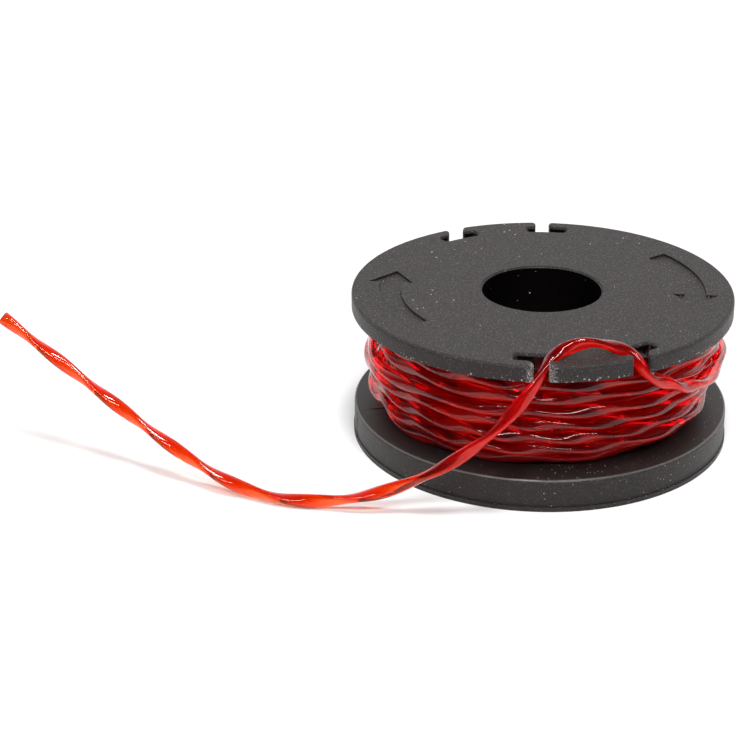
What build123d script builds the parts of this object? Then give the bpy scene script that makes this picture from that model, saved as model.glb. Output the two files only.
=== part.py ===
from build123d import *

import os
from math import asin, degrees, hypot, pi, radians, sqrt, tan

# Replacement line spool for a grass trimmer, in millimetres. The bore's axis is Z and the base
# stands on Z = 0. The spool is one moulding. The line on it is two plain solids: the wound turns,
# and the free tail that leaves them through the notches in the top flange.

# Spool body
flange_diameter = 60.0
flange_thickness = 2.5
flange_edge_round = 0.5
line_gap = 16.1
base_height = 5.2
base_inset = 0.3
base_edge_round = 0.45
bore_diameter = 18.8
bore_chamfer = 0.3
hub_wall = 2.2

# Hollow underside of the base: web, skirt with a foot bead, and radial ribs
base_web = 2.0
skirt_wall = 2.0
bead_height = 0.75
bead_proud = 0.15
rib_count = 8
rib_thickness = 1.6
rib_setback = 0.6
rib_root = 0.5

# T-notches: two parallel slots on one side, and the same pair half a turn round
slot_width = 2.2
slot_spacing = 14.5
tab_width = 2.4
arm_width = 2.1
long_arm = 4.0
short_arm = 2.45
arm_tip_round = 0.6
mouth_round = 0.6
outer_tab_round = 1.2
bridge_round = 0.65

# Winding arrows, recessed in the top face and pointing clockwise from above
arrow_inset = 6.05
arrow_shaft_width = 3.4
arrow_head_width = 7.1
arrow_head_length = 4.8
arrow_tail_angle = 39.0
arrow_shaft_angle = 42.0
arrow_depth = 0.35

# Wound line: crest of each visible turn below the flange's rim, from the base upwards
line_diameter = 1.65
turn_insets = [4.7, 3.9, 3.2, 2.8, 2.8, 3.1, 3.5]
turn_groove = 0.7
winding_clearance = 0.1

# Free tail: from the right of the winding, up the right slot, down the left one, along the floor
tail_route = [
    (27.6, 7.0, 14.8),
    (28.8, -1.0, 14.8),
    (27.8, -9.0, 14.6),
    (24.6, -16.0, 14.9),
    (20.4, -21.0, 16.4),
    (16.7, -24.2, 18.9),
    (14.5, -25.2, 20.8),
    (14.5, -24.6, 24.6),
    (11.6, -24.4, 26.3),
    (7.2, -24.6, 26.8),
    (3.0, -25.2, 26.3),
    (0.1, -26.4, 24.6),
    (0.2, -28.4, 21.2),
    (-2.0, -30.7, 17.9),
    (-7.8, -31.8, 12.5),
    (-16.0, -31.8, 6.5),
    (-25.5, -31.4, 2.3),
    (-35.0, -30.8, 0.9),
    (-44.5, -28.2, 1.3),
    (-54.0, -23.8, 4.6),
    (-63.5, -18.6, 9.2),
    (-73.5, -14.2, 14.6),
    (-83.8, -10.2, 20.6),
]
run_share = 0.45

# Worked out from the sizes above
flange_radius = flange_diameter / 2
base_radius = flange_radius - base_inset
bore_radius = bore_diameter / 2
hub_radius = bore_radius + hub_wall
flange_under = base_height + line_gap
overall_height = flange_under + flange_thickness
web_under = base_height - base_web
skirt_inner_radius = base_radius - skirt_wall
arm_outer_radius = flange_radius - tab_width
arm_inner_radius = arm_outer_radius - arm_width
arm_mid_radius = arm_outer_radius - arm_width / 2
arrow_radius = flange_radius - arrow_inset
bridge_walls = [slot_width / 2, slot_spacing - slot_width / 2]
outer_walls = [-slot_width / 2, slot_spacing + slot_width / 2]
near = 0.001


def is_arm_corner(vertex, walls):
    """True where one of these slot walls, or its copy half a turn round, meets its arm's outer edge."""
    front_x = vertex.X if vertex.Y < 0 else -vertex.X
    on_arm = abs(hypot(vertex.X, vertex.Y) - arm_outer_radius) < near
    return on_arm and any(abs(front_x - wall) < near for wall in walls)


# The pair of notches on the front side, each a slot with a bent cross-bar that follows the rim
with BuildSketch() as notch_pair:
    for slot_x in (0, slot_spacing):
        slot_angle = -90 + degrees(asin(slot_x / arm_mid_radius))
        start_angle = slot_angle - degrees(long_arm / arm_mid_radius)
        bar_angle = degrees((long_arm + short_arm) / arm_mid_radius)
        with BuildLine():
            outer = CenterArc((0, 0), arm_outer_radius, start_angle, bar_angle)
            inner = CenterArc((0, 0), arm_inner_radius, start_angle, bar_angle)
            Line(outer @ 0, inner @ 0)
            Line(outer @ 1, inner @ 1)
        make_face()
        fillet(notch_pair.vertices(Select.LAST), arm_tip_round)
        with Locations((slot_x, -sqrt(arm_mid_radius**2 - slot_x**2))):
            Rectangle(slot_width, flange_radius, align=(Align.CENTER, Align.MAX))

# One arrow, its shaft bent round the axis
with BuildSketch() as arrow:
    head_angle = arrow_tail_angle - arrow_shaft_angle
    tip_angle = head_angle - degrees(arrow_head_length / arrow_radius)
    with BuildLine():
        shaft_outer = CenterArc((0, 0), arrow_radius + arrow_shaft_width / 2, head_angle, arrow_shaft_angle)
        shaft_inner = CenterArc((0, 0), arrow_radius - arrow_shaft_width / 2, head_angle, arrow_shaft_angle)
        barb_outer = PolarLine((0, 0), arrow_radius + arrow_head_width / 2, head_angle, mode=Mode.PRIVATE) @ 1
        barb_inner = PolarLine((0, 0), arrow_radius - arrow_head_width / 2, head_angle, mode=Mode.PRIVATE) @ 1
        tip = PolarLine((0, 0), arrow_radius, tip_angle, mode=Mode.PRIVATE) @ 1
        Line(shaft_outer @ 1, shaft_inner @ 1)
        Polyline(shaft_outer @ 0, barb_outer, tip, barb_inner, shaft_inner @ 0)
    make_face()

with BuildPart() as spool:
    # Top flange with its notches
    with BuildSketch(Plane.XY.offset(flange_under)) as flange_plan:
        Circle(flange_radius)
        with PolarLocations(0, 2):
            add(notch_pair.sketch, mode=Mode.SUBTRACT)
        fillet(flange_plan.vertices().filter_by(lambda v: is_arm_corner(v, outer_walls)), outer_tab_round)
        fillet(flange_plan.vertices().filter_by(lambda v: is_arm_corner(v, bridge_walls)), bridge_round)
        mouths = flange_plan.vertices().filter_by(lambda v: abs(hypot(v.X, v.Y) - flange_radius) < near)
        fillet(mouths.filter_by(lambda v: abs(v.Y) > near), mouth_round)
    extrude(amount=flange_thickness)
    fillet(spool.edges().group_by(Axis.Z)[-1], flange_edge_round)

    # Hub and hollow base, turned about the axis
    with BuildSketch(Plane.XZ):
        with BuildLine():
            Polyline(
                (0, 0),
                (hub_radius, 0),
                (hub_radius, web_under),
                (skirt_inner_radius, web_under),
                (skirt_inner_radius, 0),
                (base_radius + bead_proud, 0),
                (base_radius + bead_proud, bead_height),
                (base_radius, bead_height),
                (base_radius, base_height),
                (hub_radius, base_height),
                (hub_radius, overall_height),
                (0, overall_height),
                close=True,
            )
        make_face()
    revolve(axis=Axis.Z)
    rim_top = spool.edges().filter_by(GeomType.CIRCLE).filter_by(lambda e: abs(e.radius - base_radius) < near)
    fillet(rim_top.sort_by(Axis.Z)[-1], base_edge_round)

    # Ribs under the web
    with BuildSketch(Plane.XY.offset(rib_setback)):
        with PolarLocations((hub_radius + skirt_inner_radius) / 2, rib_count):
            Rectangle(skirt_inner_radius - hub_radius + 2 * rib_root, rib_thickness)
    extrude(amount=web_under - rib_setback)

    # Through bore
    with Locations((0, 0, overall_height)):
        Hole(bore_radius)
    mouth_edges = spool.edges().filter_by(GeomType.CIRCLE).filter_by(lambda e: abs(e.radius - bore_radius) < near)
    chamfer(mouth_edges, bore_chamfer)

    # Arrows
    with BuildSketch(Plane.XY.offset(overall_height)):
        with PolarLocations(0, 2):
            add(arrow.sketch)
    extrude(amount=-arrow_depth, mode=Mode.SUBTRACT)
spool.part.label = "spool"

# The wound turns as one ring, with a rounded crest for each turn on its outer face
with BuildPart() as line_winding:
    with BuildSketch(Plane.XZ):
        with BuildLine():
            inner_radius = hub_radius + winding_clearance
            low = base_height + winding_clearance
            turn_height = (line_gap - 2 * winding_clearance) / len(turn_insets)
            crests = [flange_radius - inset for inset in turn_insets]
            grooves = [min(pair) - turn_groove for pair in zip(crests, crests[1:])]
            roots = [crests[0] - turn_groove] + grooves + [crests[-1] - turn_groove]
            for turn, crest in enumerate(crests):
                ThreePointArc(
                    (roots[turn], low + turn * turn_height),
                    (crest, low + (turn + 0.5) * turn_height),
                    (roots[turn + 1], low + (turn + 1) * turn_height),
                )
            high = low + len(crests) * turn_height
            Polyline((roots[-1], high), (inner_radius, high), (inner_radius, low), (roots[0], low))
        make_face()
    revolve(axis=Axis.Z)
line_winding.part.label = "line_winding"

# The free tail as a round tube along straight runs and tangent arcs
bends = []
for before, corner, after in zip(tail_route, tail_route[1:], tail_route[2:]):
    run_in = Vector(corner) - Vector(before)
    run_out = Vector(after) - Vector(corner)
    half_turn = radians(run_in.get_angle(run_out)) / 2
    bends.append(run_share * min(run_in.length, run_out.length) / tan(half_turn))

with BuildPart() as line_tail:
    with BuildLine() as tail_path:
        FilletPolyline(*tail_route, radius=bends)
    tail_wire = tail_path.wire()
    with BuildSketch(Plane(origin=tail_wire @ 0, z_dir=tail_wire % 0)):
        Circle(line_diameter / 2)
    sweep(path=tail_wire)
line_tail.part.label = "line_tail"

tail_length = tail_wire.length
section_volume = pi * line_diameter**2 / 4 * tail_length
print("tail bend radii:", ", ".join(f"{bend:.1f}" for bend in bends))
print(f"tail length {tail_length:.1f}, volume {line_tail.part.volume:.1f}, section x length {section_volume:.1f}")

os.makedirs("parts", exist_ok=True)
export_step(spool.part, "parts/spool.step")
export_step(line_winding.part, "parts/line_winding.step")
export_step(line_tail.part, "parts/line_tail.step")
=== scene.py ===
"""Dresses the trimmer line spool: its moulded plastic, the twisted line wound on it, and a white studio.

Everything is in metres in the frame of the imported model, with the bore's axis on Z and the floor at Z = 0.
"""

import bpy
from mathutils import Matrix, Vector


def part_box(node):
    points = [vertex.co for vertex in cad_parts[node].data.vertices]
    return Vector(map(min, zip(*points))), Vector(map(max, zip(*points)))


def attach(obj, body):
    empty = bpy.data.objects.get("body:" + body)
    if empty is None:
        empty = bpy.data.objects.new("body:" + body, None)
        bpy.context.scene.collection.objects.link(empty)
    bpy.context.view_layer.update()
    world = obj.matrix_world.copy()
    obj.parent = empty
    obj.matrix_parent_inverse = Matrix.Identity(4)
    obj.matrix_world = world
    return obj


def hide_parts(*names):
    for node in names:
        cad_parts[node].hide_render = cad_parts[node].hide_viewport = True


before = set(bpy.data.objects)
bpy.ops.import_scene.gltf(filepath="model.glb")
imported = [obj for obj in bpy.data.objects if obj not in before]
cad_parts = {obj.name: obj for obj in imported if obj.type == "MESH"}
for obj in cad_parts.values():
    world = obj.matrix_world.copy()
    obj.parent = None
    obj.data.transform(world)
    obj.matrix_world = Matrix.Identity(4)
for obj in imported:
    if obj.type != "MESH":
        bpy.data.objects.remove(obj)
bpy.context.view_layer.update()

from math import cos, radians, sin
from types import SimpleNamespace

import bpy
import numpy as np
from bpy.props import FloatProperty, FloatVectorProperty, IntProperty, PointerProperty
from mathutils import Matrix, Vector

bl_info = {
    "name": "Trimmer Line Spool",
    "version": (1, 0, 0),
    "blender": (4, 5, 0),
    "location": "View3D > Sidebar > Spool",
    "description": "Finishes a moulded trimmer spool, winds its twisted line and sets up a studio round it",
    "category": "Object",
}

MM = 0.001

# Sizes of the moulding that its finish follows
SPOOL_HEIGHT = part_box("spool")[1].z
FLANGE_RADIUS = 30.0 * MM
FLANGE_UNDERSIDE = SPOOL_HEIGHT - 2.5 * MM
NOTCH_MIDDLE = FLANGE_UNDERSIDE + 1.1 * MM
BASE_RADIUS = FLANGE_RADIUS - 0.3 * MM
BASE_HEIGHT = 5.2 * MM
BASE_EDGE_ROUND = 0.45 * MM
BORE_RADIUS = 9.4 * MM

# The free tail's route, from the right of the winding through both notches and out along the floor
TAIL_ROUTE = [
    (0.0277, 0.0070, 0.0148),
    (0.0285, -0.0010, 0.0148),
    (0.0272, -0.0090, 0.0147),
    (0.0245, -0.0160, 0.0151),
    (0.0206, -0.0208, 0.0169),
    (0.0172, -0.0236, 0.0192),
    (0.0152, -0.0248, 0.0208),
    (0.0144, -0.0242, 0.0222),
    (0.0129, -0.0232, 0.0232),
    (0.0104, -0.0239, 0.0248),
    (0.0069, -0.0247, 0.0256),
    (0.0037, -0.0255, 0.0250),
    (0.0013, -0.0266, 0.0237),
    (0.0002, -0.0279, 0.0222),
    (-0.0007, -0.0291, 0.0205),
    (-0.0029, -0.0306, 0.0180),
    (-0.0078, -0.0318, 0.0125),
    (-0.0160, -0.0318, 0.0065),
    (-0.0255, -0.0314, 0.0023),
    (-0.0350, -0.0308, 0.0009),
    (-0.0445, -0.0282, 0.0013),
    (-0.0540, -0.0238, 0.0047),
    (-0.0635, -0.0186, 0.0091),
    (-0.0735, -0.0142, 0.0147),
    (-0.0840, -0.0102, 0.0210),
]
CLIMB_START = TAIL_ROUTE[3]

# Where the last turn leaves its layer at the back and crosses outside the others down to the tail:
# azimuth in degrees, radius and height
CROSSING = [
    (86.0, 0.0266, 0.0198),
    (70.0, 0.0276, 0.0189),
    (54.0, 0.0277, 0.0176),
    (38.0, 0.0277, 0.0163),
    (25.0, 0.0277, 0.0153),
]

# Places where an outer turn strays from its neat helix, as it does when wound by hand:
# turns from the layer's start, reach in turns, outward and upward shift
STRAYS = [
    (0.26, 0.10, -0.8 * MM, 0.0),
    (1.26, 0.10, 0.7 * MM, 0.0),
    (2.26, 0.10, 0.4 * MM, -0.2 * MM),
    (3.26, 0.12, 1.3 * MM, -0.2 * MM),
    (4.24, 0.12, 1.0 * MM, -0.6 * MM),
    (5.26, 0.12, -0.3 * MM, -0.3 * MM),
    (0.96, 0.07, 0.0, 0.4 * MM),
    (3.14, 0.06, 0.0, 0.4 * MM),
    (4.94, 0.06, 0.0, 0.4 * MM),
    (3.76, 0.12, 1.1 * MM, 0.0),
    (4.74, 0.13, 1.5 * MM, 0.0),
    (5.74, 0.13, 1.9 * MM, 0.0),
]


def linear_colour(hex_value):
    """Turns an sRGB hex value such as "#3c3a3a" into the linear colour that Blender works in."""
    channels = np.array([int(hex_value[i:i + 2], 16) for i in (1, 3, 5)]) / 255
    return tuple(np.where(channels <= 0.04045, channels / 12.92, ((channels + 0.055) / 1.055) ** 2.4))


def smooth_step(values):
    """Rises from 0 to 1 over the unit interval with level ends: 3t^2 - 2t^3."""
    t = np.clip(values, 0, 1)
    return t * t * (3 - 2 * t)


class SpoolFinish(bpy.types.PropertyGroup):
    """Finish of the black moulding, and the shade and highlight painted into it"""

    pit_colour: FloatVectorProperty(
        name="Pit Colour", description="Black nylon down in the pits of the texture",
        default=linear_colour("#0e0b0b"), subtype="COLOR",
    )
    grain_colour: FloatVectorProperty(
        name="Grain Colour", description="Black nylon on the grains that stand proud",
        default=linear_colour("#726868"), subtype="COLOR",
    )
    # Painted shade: this near-black is drawn in the bore, on the notches' walls and along the seam, for the
    # shade deep in the hollows and the shadow of the seam's step
    polished_shade_colour: FloatVectorProperty(
        name="Polished Shade Colour", description="Black nylon in the bore, the notches and the seam",
        default=linear_colour("#070505"), subtype="COLOR",
    )
    # Painted highlight: a light grey drawn along the base's rounded upper edge, where it catches the light
    edge_highlight_colour: FloatVectorProperty(
        name="Edge Highlight Colour", description="Black nylon where the base's upper edge is rubbed",
        default=linear_colour("#555151"), subtype="COLOR",
    )
    dust_colour: FloatVectorProperty(
        name="Dust Colour", description="Dust and scuffs",
        default=linear_colour("#b4aeac"), subtype="COLOR",
    )
    dust_spacing: FloatProperty(
        name="Dust Spacing", description="Distance from one place where dust may lie to the next",
        default=0.9 * MM, unit="LENGTH", precision=5,
    )
    grain_width: FloatProperty(
        name="Grain Width", description="Size of one pit of the spark-eroded mould texture",
        default=0.25 * MM, unit="LENGTH", precision=5,
    )
    roughness: FloatProperty(
        name="Roughness", description="Gloss of the moulded skin", default=0.55, min=0, max=1,
    )
    seam_azimuth: FloatProperty(
        name="Seam", description="Direction of the mould's seam on the base",
        default=radians(-165.5), subtype="ANGLE",
    )


class LineWinding(bpy.types.PropertyGroup):
    """Sizes and colours of the twisted line and of its turns on the hub, with light and shade painted into
    the colours
    """

    width: FloatProperty(
        name="Line Width", description="Wide axis of the twisted section", default=2.1 * MM, unit="LENGTH",
    )
    thickness: FloatProperty(
        name="Line Thickness", description="Narrow axis of the twisted section",
        default=1.4 * MM, unit="LENGTH",
    )
    twist_pitch: FloatProperty(
        name="Twist Pitch", description="Length of line in which the section turns once",
        default=23.5 * MM, unit="LENGTH",
    )
    end_twist: FloatProperty(
        name="End Twist", description="Turn of the section at the free end",
        default=radians(115), subtype="ANGLE",
    )
    layers: IntProperty(
        name="Layers", description="Layers of turns from the hub outwards", default=7, min=2,
    )
    layer_turns: FloatProperty(
        name="Turns in a Layer", description="Turns between the flanges", default=6.5,
    )
    layer_step: FloatProperty(
        name="Layer Step", description="Distance from one layer to the next",
        default=2.19 * MM, unit="LENGTH",
    )
    inner_radius: FloatProperty(
        name="Inner Radius", description="Radius of the first layer on the hub",
        default=12.8 * MM, unit="LENGTH",
    )
    low_turn: FloatProperty(
        name="Lowest Turn", description="Height of the lowest turn's middle",
        default=6.0 * MM, unit="LENGTH",
    )
    turn_pitch: FloatProperty(
        name="Turn Pitch", description="Rise in one turn", default=2.13 * MM, unit="LENGTH",
    )
    start_azimuth: FloatProperty(
        name="Start", description="Direction in which the first turn starts",
        default=radians(-80), subtype="ANGLE",
    )
    free_colour: FloatVectorProperty(
        name="Free Colour", description="Red on the upper side of the free line",
        default=linear_colour("#e02406"), subtype="COLOR",
    )
    # Painted light: orange glow drawn on the free line's lower side, where light from the floor comes in
    free_painted_glow_colour: FloatVectorProperty(
        name="Free Glow Colour", description="Orange where light from the floor comes into the free line",
        default=linear_colour("#ff5e06"), subtype="COLOR",
    )
    # Painted shade: the turns are drawn a deeper red than the free line, for the light lost among the layers
    wound_shade_colour: FloatVectorProperty(
        name="Wound Colour", description="Deeper red of the outer turns",
        default=linear_colour("#f20c12"), subtype="COLOR",
    )
    # Painted light: bright red glow drawn on the lower side of the outer turns, where light from above
    # gathers
    painted_glow_colour: FloatVectorProperty(
        name="Glow Colour", description="Bright red where light gathers in the outer turns",
        default=linear_colour("#ff1a0a"), subtype="COLOR",
    )
    # Painted shade: the layers below the outer one are drawn a darker red, for the shade deep in the winding
    buried_shade_colour: FloatVectorProperty(
        name="Buried Colour", description="Dark red of the layers below the outer one",
        default=linear_colour("#ce0a0a"), subtype="COLOR",
    )


class StudioSettings(bpy.types.PropertyGroup):
    """Camera and floor"""

    lens: FloatProperty(
        name="Lens", description="Focal length on a 36 mm sensor", default=98.46, subtype="DISTANCE_CAMERA",
    )
    camera_place: FloatVectorProperty(
        name="Camera", description="Where the camera stands",
        default=(-0.002573, -0.29479, 0.1440), subtype="TRANSLATION",
    )
    camera_pan: FloatProperty(
        name="Pan", description="Turn to the left", default=radians(4.85), subtype="ANGLE",
    )
    camera_tilt: FloatProperty(
        name="Tilt", description="Turn up from straight down", default=radians(65.51), subtype="ANGLE",
    )
    camera_roll: FloatProperty(
        name="Roll", description="Turn about the view", default=radians(-0.58), subtype="ANGLE",
    )
    floor_size: FloatProperty(name="Floor", description="Side of the floor", default=4.0, unit="LENGTH")
    floor_colour: FloatVectorProperty(
        name="Floor Colour", description="White of the paper",
        default=linear_colour("#dadada"), subtype="COLOR",
    )


def add_node(tree, kind, *values, inputs=None, **settings):
    """Adds one node and returns it.

    Settings are the node's own properties. Values go to the inputs that these leave in use, in order,
    and more inputs may be given by name. Each is a constant, a socket, or a node that gives its first
    output in use.
    """
    node = tree.nodes.new(kind)
    for name, value in settings.items():
        setattr(node, name, value)
    given = list(zip([socket for socket in node.inputs if socket.enabled], values))
    given += [(node.inputs[name], value) for name, value in (inputs or {}).items()]
    for socket, value in given:
        if isinstance(value, bpy.types.Node):
            value = next(output for output in value.outputs if output.enabled)
        if isinstance(value, bpy.types.NodeSocket):
            tree.links.new(value, socket)
        else:
            socket.default_value = value
    return node


def new_material(name):
    """A material with an empty node tree."""
    material = bpy.data.materials.new(name)
    material.use_nodes = True
    material.node_tree.nodes.clear()
    return material


def moulding_zones(tree):
    """Masks of the moulding's faces, found by height and by distance from the bore's axis.

    The base ends in its ledge, the flat top, and its upper edge carries a painted highlight along the middle
    of the round. The flange has an upright rim with a sharp edge below it. The bore and the notches' walls
    are polished and painted dark as shade.
    """
    place = add_node(tree, "ShaderNodeTexCoord").outputs["Object"]
    height = add_node(tree, "ShaderNodeSeparateXYZ", place).outputs["Z"]
    outward = add_node(tree, "ShaderNodeVectorMath", place, (1, 1, 0), operation="MULTIPLY")
    radius = add_node(tree, "ShaderNodeVectorMath", outward, operation="LENGTH")
    profile = add_node(tree, "ShaderNodeCombineXYZ", radius, 0, height)

    base = add_node(tree, "ShaderNodeMath", height, BASE_HEIGHT + 0.2 * MM, operation="LESS_THAN")
    ledge = add_node(tree, "ShaderNodeMath", height, BASE_HEIGHT, 0.05 * MM, operation="COMPARE")
    # Mask of the painted highlight along the middle of the base's upper round
    round_depth = BASE_EDGE_ROUND * (1 - cos(radians(45)))
    base_edge = (BASE_RADIUS - round_depth, 0, BASE_HEIGHT - round_depth)
    from_base_edge = add_node(tree, "ShaderNodeVectorMath", profile, base_edge, operation="DISTANCE")
    highlighted = add_node(tree, "ShaderNodeMapRange", from_base_edge, 0.05 * MM, 0.22 * MM, 1, 0)

    rim_start = FLANGE_RADIUS - 0.22 * MM
    outermost = add_node(tree, "ShaderNodeMath", radius, rim_start, operation="GREATER_THAN")
    rim = add_node(tree, "ShaderNodeMath", outermost, base, operation="SUBTRACT", use_clamp=True)
    flange_edge = (FLANGE_RADIUS, 0, FLANGE_UNDERSIDE)
    from_flange_edge = add_node(tree, "ShaderNodeVectorMath", profile, flange_edge, operation="DISTANCE")
    rim_edge = add_node(tree, "ShaderNodeMath", from_flange_edge, 0.5 * MM, operation="LESS_THAN")

    bore = add_node(tree, "ShaderNodeMath", radius, BORE_RADIUS + 0.02 * MM, operation="LESS_THAN")
    in_flange = add_node(tree, "ShaderNodeMath", height, NOTCH_MIDDLE, 0.95 * MM, operation="COMPARE")
    inside_rim = add_node(tree, "ShaderNodeMath", radius, FLANGE_RADIUS - 1.0 * MM, operation="LESS_THAN")
    notch_wall = add_node(tree, "ShaderNodeMath", in_flange, inside_rim, operation="MULTIPLY")
    polished_and_shaded = add_node(tree, "ShaderNodeMath", notch_wall, bore, operation="MAXIMUM")
    return SimpleNamespace(
        place=place, base=base, ledge=ledge, highlighted=highlighted, rim=rim, rim_edge=rim_edge, polished_and_shaded=polished_and_shaded,
    )


def dust_specks(tree, zone, spacing):
    """Mask of the dust: small balls in some of the cells of a fine pattern.

    A cell's own chance times a slow drift has to pass a threshold, and the more it does, the larger its
    speck, as a share of the cell. Specks are closer on the base, commoner on its ledge, and thickest on
    the rim's edge.
    """
    usual, on_base, rim_extra = 1 / spacing, 1.7 / spacing, 1.3 / spacing
    density = add_node(tree, "ShaderNodeMapRange", zone.base, 0, 1, usual, on_base)
    density = add_node(tree, "ShaderNodeMath", zone.rim_edge, rim_extra, density, operation="MULTIPLY_ADD")
    cells = add_node(tree, "ShaderNodeTexVoronoi", inputs={"Vector": zone.place, "Scale": density})
    chance = add_node(tree, "ShaderNodeSeparateColor", cells.outputs["Color"])
    drift_size = 9 * MM
    drift = add_node(
        tree, "ShaderNodeTexNoise", inputs={"Vector": zone.place, "Scale": 1 / drift_size, "Detail": 1.0}
    )
    favour = add_node(tree, "ShaderNodeMath", chance, drift, operation="MULTIPLY")
    dusty = add_node(tree, "ShaderNodeMath", zone.rim_edge, 3.3, zone.ledge, operation="MULTIPLY_ADD")
    threshold = add_node(tree, "ShaderNodeMapRange", zone.base, 0, 1, 0.34, 0.22)
    threshold = add_node(tree, "ShaderNodeMath", dusty, -0.09, threshold, operation="MULTIPLY_ADD")
    largest = add_node(tree, "ShaderNodeMapRange", zone.rim_edge, 0, 1, 0.17, 0.5)
    reach = add_node(tree, "ShaderNodeMapRange", favour, threshold, 0.6, 0, largest)
    return add_node(tree, "ShaderNodeMath", cells, reach, operation="LESS_THAN")


def notch_scuffs(tree, zone):
    """Mask of the scuffs round the notch that the tail leaves by: fine grit that thins out away from it."""
    notch_mouth = (0, 0.2 * MM - FLANGE_RADIUS, NOTCH_MIDDLE)
    away = add_node(tree, "ShaderNodeVectorMath", zone.place, notch_mouth, operation="DISTANCE")
    worn = add_node(tree, "ShaderNodeMapRange", away, 1.8 * MM, 3.8 * MM, 0.3, 0)
    grit_size = 0.17 * MM
    grit = add_node(
        tree, "ShaderNodeTexNoise", inputs={"Vector": zone.place, "Scale": 1 / grit_size, "Detail": 1.0}
    )
    scuffed = add_node(tree, "ShaderNodeMath", grit, worn, operation="ADD")
    return add_node(tree, "ShaderNodeMapRange", scuffed, 0.82, 0.92)


def mould_seam(tree, zone, azimuth):
    """Mask of the seam on the base, and the ramp across it that ends in a step.

    The seam lies in a plane through the bore's axis, on its left side only.
    """
    half_width = 0.25 * MM
    across = (sin(azimuth), -cos(azimuth), 0)
    off_seam = add_node(tree, "ShaderNodeVectorMath", zone.place, across, operation="DOT_PRODUCT")
    seam = add_node(tree, "ShaderNodeMath", off_seam, 0, half_width, operation="COMPARE")
    sideways = add_node(tree, "ShaderNodeSeparateXYZ", zone.place).outputs["X"]
    left = add_node(tree, "ShaderNodeMath", sideways, 0, operation="LESS_THAN")
    for within in (zone.base, left):
        seam = add_node(tree, "ShaderNodeMath", seam, within, operation="MULTIPLY")
    ramp = add_node(tree, "ShaderNodeMapRange", off_seam, -half_width, half_width, 0, 2.5)
    return seam, add_node(tree, "ShaderNodeMath", ramp, seam, operation="MULTIPLY")


def moulded_nylon(finish):
    """Glass-filled black nylon from a spark-eroded mould.

    The eye gets a dull near-black with an even speckle of pits and bright grains, smoother and darker on
    upright sides and the base, partly as painted shade. White dust lies on it, thickest along the flange's
    lower edge. The bore and the notches' walls are shiny and painted black as shade, and a painted highlight
    runs grey along the base's upper edge. Line pulled through the notch has left pale scuffs, and the
    mould's halves have left a seam on the base, painted dark as the shadow of its step.
    """
    material = new_material("moulded_black_nylon")
    tree = material.node_tree
    zone = moulding_zones(tree)
    dust = dust_specks(tree, zone, finish.dust_spacing)
    scuffs = notch_scuffs(tree, zone)
    seam, seam_step = mould_seam(tree, zone, finish.seam_azimuth)
    pale = add_node(tree, "ShaderNodeMath", dust, scuffs, operation="MAXIMUM")
    # Painted shade: the seam, the bore and the notches' walls are drawn near-black, for the shadow of the
    # seam's step and the shade deep in the hollows
    dark = add_node(tree, "ShaderNodeMath", seam, zone.polished_and_shaded, operation="MAXIMUM")

    # The mould's texture. Its real grains are too fine to show, so they are drawn as coarse as they need.
    # They stand out most on the flange's face, less on its rim and the base, and least on the ledge. Fewer
    # bright grains make these faces darker: partly their smoother finish, partly painted shade, most of it
    # on the base's ledge under the flange.
    grain = add_node(
        tree,
        "ShaderNodeTexNoise",
        inputs={"Vector": zone.place, "Scale": 1 / finish.grain_width, "Detail": 2.0, "Roughness": 0.7},
    )
    speckle = add_node(tree, "ShaderNodeMapRange", grain, 0.57, 0.74)
    contrast = add_node(tree, "ShaderNodeMapRange", zone.base, 0, 1, 1.0, 0.4)
    for part, loss in ((zone.ledge, -0.3), (zone.rim, -0.5)):
        contrast = add_node(tree, "ShaderNodeMath", part, loss, contrast, operation="MULTIPLY_ADD")
    bright = add_node(tree, "ShaderNodeMath", speckle, contrast, operation="MULTIPLY")

    # Colour, each layer over the one before: bright grains, painted shade in the seam, bore and notches,
    # dust and scuffs, and a painted highlight on the base's upper edge
    colour = (*finish.pit_colour, 1)
    for mask, layer in (
        (bright, finish.grain_colour),
        (dark, finish.polished_shade_colour),
        (pale, finish.dust_colour),
        (zone.highlighted, finish.edge_highlight_colour),
    ):
        colour = add_node(tree, "ShaderNodeMix", mask, colour, (*layer, 1), data_type="RGBA")

    # Gloss: grains shine more than pits, and upright sides more than level faces
    duller, glossier = finish.roughness + 0.1, finish.roughness - 0.1
    roughness = add_node(tree, "ShaderNodeMapRange", speckle, 0, 1, duller, glossier)
    side = add_node(tree, "ShaderNodeMath", zone.base, zone.rim, operation="MAXIMUM")
    roughness = add_node(tree, "ShaderNodeMath", side, -0.2, roughness, operation="MULTIPLY_ADD")
    for mask, layer in ((zone.ledge, 0.57), (dark, 0.25), (zone.highlighted, 0.4)):
        roughness = add_node(tree, "ShaderNodeMix", mask, roughness, layer)

    # Relief: the grain and the seam's step, none on the painted edge highlight or in the polished, shaded
    # bore and notches, and little on the ledge
    relief = add_node(tree, "ShaderNodeMath", grain, seam_step, operation="ADD")
    flat = add_node(tree, "ShaderNodeMath", zone.highlighted, zone.polished_and_shaded, operation="MAXIMUM")
    flat = add_node(tree, "ShaderNodeMath", zone.ledge, 0.8, flat, operation="MULTIPLY_ADD", use_clamp=True)
    strength = add_node(tree, "ShaderNodeMath", 1.0, flat, operation="SUBTRACT")
    bump = add_node(
        tree, "ShaderNodeBump", inputs={"Height": relief, "Strength": strength, "Distance": 0.2 * MM}
    )
    shader = add_node(
        tree,
        "ShaderNodeBsdfPrincipled",
        inputs={
            "Base Color": colour,
            "Roughness": roughness,
            "IOR": 1.51,
            # Painted reflection tint: a warm tint on the reflections stands in for warm light round the
            # spool
            "Specular Tint": (1.0, 0.92, 0.91, 1),
            "Normal": bump,
        },
    )
    add_node(tree, "ShaderNodeOutputMaterial", shader)
    return material


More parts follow.
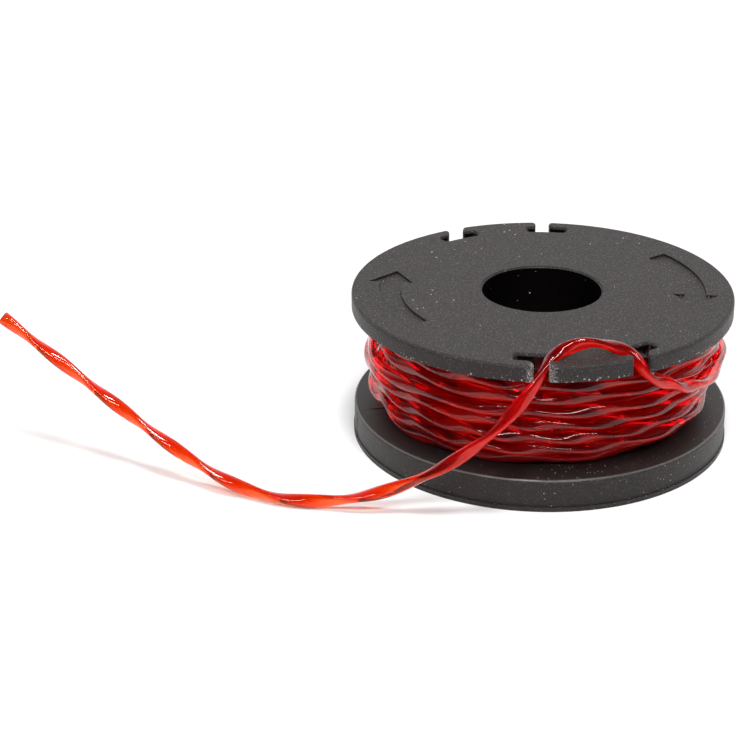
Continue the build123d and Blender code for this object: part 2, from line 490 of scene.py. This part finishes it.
def clear_red_nylon(line):
    """Extruded red monofilament nylon: clear and glossy.

    The eye gets deep red turns with dark edges and a clearer free line, with light and shade painted
    into the colour. The turns are painted a deeper red than the free line, and a bright red glow is
    painted on their lower side in some stretches, where light from above gathers. The free line has an
    orange glow painted on its lower side, where light from the floor comes in. The buried layers are
    cloudy and painted a darker red, so that the winding isn't seen through. The line's own attributes
    tell these stretches apart.
    """
    material = new_material("clear_red_monofilament_nylon")
    tree = material.node_tree
    along, buried, loose, free = (
        add_node(tree, "ShaderNodeAttribute", attribute_name=name).outputs["Fac"]
        for name in ("along", "buried", "loose", "free_run")
    )

    # Painted glow: bright red drawn on the lower side, where light from above gathers, in stretches about as
    # long as half a twist
    normal = add_node(tree, "ShaderNodeNewGeometry").outputs["Normal"]
    facing = add_node(tree, "ShaderNodeSeparateXYZ", normal).outputs["Z"]
    facing = add_node(tree, "ShaderNodeMath", loose, -0.28, facing, operation="MULTIPLY_ADD")
    lower = add_node(tree, "ShaderNodeMapRange", facing, 0.3, -0.45)
    stretch_length = 11 * MM
    stretches = add_node(
        tree,
        "ShaderNodeTexNoise",
        inputs={"W": along, "Scale": 1 / stretch_length, "Detail": 1.0},
        noise_dimensions="1D",
    )
    lit = add_node(tree, "ShaderNodeMapRange", stretches, 0.42, 0.62)
    lit = add_node(tree, "ShaderNodeMath", lit, loose, operation="MAXIMUM")
    glow = add_node(tree, "ShaderNodeMath", lower, lit, operation="MULTIPLY")

    wound_shade_red, painted_glow_red, buried_shade_red, free_red, free_painted_orange = (
        (*shade, 1)
        for shade in (
            line.wound_shade_colour,
            line.painted_glow_colour,
            line.buried_shade_colour,
            line.free_colour,
            line.free_painted_glow_colour,
        )
    )
    # The turns' deeper red is painted shade, with the painted glow over it
    wound = add_node(tree, "ShaderNodeMix", glow, wound_shade_red, painted_glow_red, data_type="RGBA")
    # Painted glow: orange on the free line's lower side, red on its upper side
    warm = add_node(tree, "ShaderNodeMix", lower, free_red, free_painted_orange, data_type="RGBA")
    colour = add_node(tree, "ShaderNodeMix", free, wound, warm, data_type="RGBA")
    # Painted shade: the buried layers are drawn darker red
    colour = add_node(tree, "ShaderNodeMix", buried, colour, buried_shade_red, data_type="RGBA")

    # Share of light that passes straight through; the rest is scattered, which shows the painted glow
    clear = add_node(tree, "ShaderNodeMapRange", loose, 0, 1, 0.96, 0.91)
    for mask, share in ((glow, 0.4), (free, 0.98), (buried, 0.4)):
        clear = add_node(tree, "ShaderNodeMix", mask, clear, share)
    haze = add_node(tree, "ShaderNodeMapRange", free, 0, 1, 0.07, 0.05)

    # Nylon's IOR of 1.53 is kept for the coat. The body's is lower, to match how dark the edges look.
    shader = add_node(
        tree,
        "ShaderNodeBsdfPrincipled",
        inputs={
            "Base Color": colour,
            "Roughness": haze,
            "IOR": 1.42,
            # Painted reflection tint: the reflections are tinted pink
            "Specular Tint": (1.0, 0.74, 0.72, 1),
            "Transmission Weight": clear,
            "Subsurface Weight": 1.0,
            "Subsurface Radius": (1.0, 0.15, 0.1),
            "Subsurface Scale": 4.0 * MM,
            "Coat Weight": 0.2,
            "Coat Roughness": 0.03,
            "Coat IOR": 1.53,
        },
    )
    add_node(tree, "ShaderNodeOutputMaterial", shader)
    return material


def winding_route(line):
    """Control points of the wound turns, from the hub outwards and clockwise from above.

    Each layer is a helix that climbs or sinks between the flanges. Its radius grows by one layer step in
    the first fifth of a turn. The strays pull single places of the outer layer out of their helix.
    """
    points_in_turn = 36
    turns = np.arange(0, line.layers * line.layer_turns, 1 / points_in_turn)
    layer = np.floor(turns / line.layer_turns)
    in_layer = turns - layer * line.layer_turns
    climb = np.where(layer % 2 == 0, in_layer, line.layer_turns - in_layer)
    grown = np.maximum(layer - 1 + smooth_step(in_layer * 5), 0)
    radius = line.inner_radius + line.layer_step * grown
    height = line.low_turn + line.turn_pitch * climb
    outer = layer == line.layers - 1
    for centre, reach, outward, upward in STRAYS:
        share = outer * np.exp(-(((in_layer - centre) / reach) ** 2))
        radius = radius + outward * share
        height = height + upward * share
    azimuth = line.start_azimuth - 2 * np.pi * turns
    return np.stack([radius * np.cos(azimuth), radius * np.sin(azimuth), height], axis=1)


def crossing_route():
    """Control points of the stretch that crosses outside the turns, from the back to the tail."""
    azimuth, radius, height = np.array(CROSSING).T
    angle = np.radians(azimuth)
    return np.stack([radius * np.cos(angle), radius * np.sin(angle), height], axis=1)


def smooth_line(route):
    """Points along the smooth line that a NURBS spline draws from the route's control points."""
    curve = bpy.data.curves.new("line_route", "CURVE")
    curve.dimensions = "3D"
    curve.resolution_u = 12
    spline = curve.splines.new("NURBS")
    spline.points.add(len(route) - 1)
    spline.points.foreach_set("co", np.column_stack([route, np.ones(len(route))]).ravel())
    spline.order_u = 3
    spline.use_endpoint_u = True
    carrier = bpy.data.objects.new("line_route", curve)
    sampled = bpy.data.meshes.new_from_object(carrier)
    points = np.empty(len(sampled.vertices) * 3)
    sampled.vertices.foreach_get("co", points)
    bpy.data.meshes.remove(sampled)
    bpy.data.objects.remove(carrier)
    bpy.data.curves.remove(curve)
    return points.reshape(-1, 3)


def lengths_along(points):
    """Length of line up to each of its points."""
    return np.append(0, np.cumsum(np.linalg.norm(np.diff(points, axis=0), axis=1)))


def line_directions(points, along, tail_turn):
    """Centres at these lengths along the points, and two unit directions across the line at each.

    The first is Z on the winding and turns to Y past tail_turn, where the tail climbs through the notch,
    with its part along the line taken off. The second is square to it and to the line.
    """
    travelled = lengths_along(points)
    slope = np.gradient(points, travelled, axis=0)
    centres, tangent = (
        np.stack([np.interp(along, travelled, column) for column in values.T], axis=1)
        for values in (points, slope)
    )
    tangent /= np.linalg.norm(tangent, axis=1, keepdims=True)
    share = smooth_step((along - tail_turn) / (12 * MM))[:, None]
    reference = (1 - share) * np.array([0, 0, 1]) + share * np.array([0, 1, 0])
    normal = reference - np.sum(reference * tangent, axis=1, keepdims=True) * tangent
    normal /= np.linalg.norm(normal, axis=1, keepdims=True)
    return centres, normal, np.cross(tangent, normal)


def closed_strand(name, rings):
    """One closed mesh from rings of points: quads from each ring to the next and a flat cap at each end."""
    ring_count, sides = rings.shape[:2]
    first = np.arange(ring_count - 1)[:, None] * sides
    here = np.arange(sides)
    after = np.roll(here, -1)
    quads = np.stack([first + here, first + after, first + sides + after, first + sides + here], axis=-1)
    last = (ring_count - 1) * sides
    caps = [here[::-1].tolist(), (last + here).tolist()]
    mesh = bpy.data.meshes.new(name)
    mesh.from_pydata(rings.reshape(-1, 3), [], quads.reshape(-1, 4).tolist() + caps)
    smooth = np.ones(len(mesh.polygons), bool)
    smooth[-len(caps):] = False
    mesh.polygons.foreach_set("use_smooth", smooth)
    return mesh


def twisted_line(name, points, outer_start, tail_turn, line):
    """A twisted flat strand along the points, as one closed mesh, and its ring centres.

    The section is x = w/2 * sign(cos a)|cos a|^p, y = h/2 * sign(sin a)|sin a|^p with p under 1, which
    is a flattened oval with full edges. It turns once about the line in each twist pitch, and two slow
    waves make that uneven on the winding. Rings lie wide apart in the hidden layers, up to outer_start,
    and close beyond.
    """
    hidden_spacing = 3.2 * MM
    shown_spacing = 0.5 * MM
    sides = 22
    fullness = 0.95
    total = lengths_along(points)[-1]
    hidden = np.arange(0, outer_start, hidden_spacing)
    along = np.append(hidden, np.arange(outer_start, total, shown_spacing))
    along[-1] = total
    centres, normal, side = line_directions(points, along, tail_turn)

    angle = np.arange(sides) / sides * 2 * np.pi
    wide = line.width / 2 * np.sign(np.cos(angle)) * np.abs(np.cos(angle)) ** fullness
    thin = line.thickness / 2 * np.sign(np.sin(angle)) * np.abs(np.sin(angle)) ** fullness
    waves = ((1.3, 137 * MM, 0), (0.9, 211 * MM, 1))
    wander = sum(swing * np.sin(2 * np.pi * along / length + start) for swing, length, start in waves)
    on_winding = 1 - smooth_step((along - tail_turn) / (30 * MM))
    twist = 2 * np.pi * (along - total) / line.twist_pitch + line.end_twist + wander * on_winding
    turn = twist[:, None]
    upward = wide * np.cos(turn) - thin * np.sin(turn)
    across = wide * np.sin(turn) + thin * np.cos(turn)
    rings = centres[:, None] + upward[..., None] * normal[:, None] + across[..., None] * side[:, None]
    mesh = closed_strand(name, rings)

    # What the material asks of a place: its length along the line, and how far it is buried, loose or free
    stretches = {
        "along": along,
        "buried": 1 - smooth_step((along - outer_start + 10 * MM) / (30 * MM)),
        "loose": smooth_step((along - tail_turn) / (10 * MM)),
        "free_run": smooth_step((along - tail_turn - 48 * MM) / (18 * MM)),
    }
    for stretch, values in stretches.items():
        attribute = mesh.attributes.new(stretch, "FLOAT", "POINT")
        attribute.data.foreach_set("value", np.repeat(values, sides))
    piece = bpy.data.objects.new(name, mesh)
    bpy.context.scene.collection.objects.link(piece)
    return piece, centres


class SPOOL_OT_finish_moulding(bpy.types.Operator):
    """Give the moulded spool its grained black plastic"""

    bl_idname = "spool.finish_moulding"
    bl_label = "Finish Moulding"

    def execute(self, context):
        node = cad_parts["spool"]
        node.data.materials.clear()
        node.data.materials.append(moulded_nylon(context.scene.spool_finish))
        return {"FINISHED"}


class SPOOL_OT_wind_line(bpy.types.Operator):
    """Wind the twisted line on the hub and lead its free end through the notches"""

    bl_idname = "spool.wind_line"
    bl_label = "Wind Line"

    def execute(self, context):
        line = context.scene.spool_line
        points = smooth_line(np.concatenate([winding_route(line), crossing_route(), TAIL_ROUTE]))
        travelled = lengths_along(points)

        # The outer layer starts where the radius first grows past that of the layer below, by a margin,
        # and the tail turns at the point nearest to where its route starts to climb
        margin = 0.17 * MM
        below_outer = line.inner_radius + (line.layers - 2) * line.layer_step + margin
        outer_start = travelled[np.argmax(np.hypot(points[:, 0], points[:, 1]) > below_outer)]
        tail_turn = travelled[np.argmin(np.linalg.norm(points - np.array(CLIMB_START), axis=1))]
        piece, centres = twisted_line("trimmer_line", points, outer_start, tail_turn, line)
        piece.data.materials.append(clear_red_nylon(line))
        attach(piece, "root")
        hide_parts("line_winding", "line_tail")
        return {"FINISHED"}


def add_panel_light(name, place, target, size, power):
    """A rectangular softbox at a place, facing a target. Size is its width and height."""
    lamp = bpy.data.lights.new(name, "AREA")
    lamp.shape = "RECTANGLE"
    lamp.size, lamp.size_y = size
    lamp.energy = power
    light = bpy.data.objects.new(name, lamp)
    light.location = place
    light.rotation_euler = (Vector(place) - Vector(target)).to_track_quat("Z", "Y").to_euler()
    bpy.context.scene.collection.objects.link(light)


def white_paper(paper_colour):
    """Matt white paper sweep: pure white to the eye and in reflections, and it still takes soft shadows.

    A glow that only the camera, reflections and clear pieces see grows with distance, as the lights fade.
    """
    material = new_material("matt_white_paper")
    tree = material.node_tree
    diffuse = add_node(tree, "ShaderNodeBsdfDiffuse", (*paper_colour, 1))
    rays = add_node(tree, "ShaderNodeLightPath").outputs
    seen = rays["Is Camera Ray"]
    for other in ("Is Glossy Ray", "Is Transmission Ray"):
        seen = add_node(tree, "ShaderNodeMath", seen, rays[other], operation="MAXIMUM")
    place = add_node(tree, "ShaderNodeTexCoord").outputs["Object"]
    away = add_node(tree, "ShaderNodeVectorMath", place, operation="LENGTH")
    level = add_node(tree, "ShaderNodeMapRange", away, 0.15, 1.2, 0.1, 0.8)
    strength = add_node(tree, "ShaderNodeMath", seen, level, operation="MULTIPLY")
    glow = add_node(tree, "ShaderNodeEmission", (1, 1, 1, 1), strength)
    both = add_node(tree, "ShaderNodeAddShader", diffuse, glow)
    add_node(tree, "ShaderNodeOutputMaterial", both)
    return material


def studio_walls():
    """White walls at the back and sides, and a dim room behind the camera, so that fronts stay dark.

    Light fades towards the ceiling and the horizon. The camera itself sees plain white.
    """
    world = bpy.data.worlds.new("studio_walls")
    world.use_nodes = True
    tree = world.node_tree
    tree.nodes.clear()
    direction = add_node(tree, "ShaderNodeTexCoord").outputs["Generated"]
    split = add_node(tree, "ShaderNodeSeparateXYZ", direction).outputs
    sideways = add_node(tree, "ShaderNodeMath", split["X"], operation="ABSOLUTE")
    depth = add_node(tree, "ShaderNodeMath", sideways, -0.34, split["Y"], operation="MULTIPLY_ADD")
    walls, horizon, ceiling = (
        add_node(tree, "ShaderNodeMapRange", measure, *span, interpolation_type="SMOOTHSTEP")
        for measure, span in (
            (depth, (-0.15, 0.5, 0.06, 1.6)),
            (split["Z"], (0.0, 0.14, 0.35, 1.0)),
            (split["Z"], (0.45, 0.85, 1.0, 0.35)),
        )
    )
    level = add_node(tree, "ShaderNodeMath", walls, horizon, operation="MULTIPLY")
    level = add_node(tree, "ShaderNodeMath", level, ceiling, operation="MULTIPLY")
    seen = add_node(tree, "ShaderNodeLightPath").outputs["Is Camera Ray"]
    level = add_node(tree, "ShaderNodeMix", seen, level, 1.0)
    light = add_node(tree, "ShaderNodeBackground", (1, 1, 1, 1), level)
    add_node(tree, "ShaderNodeOutputWorld", light)
    return world


class SPOOL_OT_set_stage(bpy.types.Operator):
    """Set up the white floor, the softboxes and the camera"""

    bl_idname = "spool.set_stage"
    bl_label = "Set Stage"

    def execute(self, context):
        scene = context.scene
        studio = scene.spool_studio
        half = studio.floor_size / 2
        corners = [(-half, -half, 0), (half, -half, 0), (half, half, 0), (-half, half, 0)]
        mesh = bpy.data.meshes.new("floor")
        mesh.from_pydata(corners, [], [(0, 1, 2, 3)])
        mesh.materials.append(white_paper(studio.floor_colour))
        floor = bpy.data.objects.new("floor", mesh)
        scene.collection.objects.link(floor)

        middle = (0, 0, SPOOL_HEIGHT / 2)
        add_panel_light("overhead_softbox", (0.1, -0.4, 2.1), middle, size=(0.4, 0.4), power=32.0)
        add_panel_light("front_strip", (0.0, -0.5, 0.62), middle, size=(0.8, 0.05), power=5.0)
        scene.world = studio_walls()

        camera_data = bpy.data.cameras.new("camera")
        camera_data.sensor_width = 36
        camera_data.lens = studio.lens
        camera = bpy.data.objects.new("camera", camera_data)
        turn = Matrix.Rotation(studio.camera_pan, 4, "Z") @ Matrix.Rotation(studio.camera_tilt, 4, "X")
        turn = turn @ Matrix.Rotation(studio.camera_roll, 4, "Z")
        camera.matrix_world = Matrix.Translation(studio.camera_place) @ turn
        scene.collection.objects.link(camera)
        scene.camera = camera
        scene.view_settings.view_transform = "Standard"
        return {"FINISHED"}


class SPOOL_PT_tools(bpy.types.Panel):
    """Sidebar panel with the settings and the steps in order"""

    bl_label = "Trimmer Line Spool"
    bl_space_type = "VIEW_3D"
    bl_region_type = "UI"
    bl_category = "Spool"

    def draw(self, context):
        for settings, step in (
            (context.scene.spool_finish, SPOOL_OT_finish_moulding),
            (context.scene.spool_line, SPOOL_OT_wind_line),
            (context.scene.spool_studio, SPOOL_OT_set_stage),
        ):
            box = self.layout.box()
            for name in settings.__annotations__:
                box.prop(settings, name)
            box.operator(step.bl_idname)


CLASSES = (
    SpoolFinish,
    LineWinding,
    StudioSettings,
    SPOOL_OT_finish_moulding,
    SPOOL_OT_wind_line,
    SPOOL_OT_set_stage,
    SPOOL_PT_tools,
)


def register():
    for cls in CLASSES:
        bpy.utils.register_class(cls)
    bpy.types.Scene.spool_finish = PointerProperty(type=SpoolFinish)
    bpy.types.Scene.spool_line = PointerProperty(type=LineWinding)
    bpy.types.Scene.spool_studio = PointerProperty(type=StudioSettings)


def unregister():
    del bpy.types.Scene.spool_studio
    del bpy.types.Scene.spool_line
    del bpy.types.Scene.spool_finish
    for cls in reversed(CLASSES):
        bpy.utils.unregister_class(cls)


def main():
    register()
    bpy.ops.spool.finish_moulding()
    bpy.ops.spool.wind_line()
    bpy.ops.spool.set_stage()


if __name__ == "__main__":
    main()
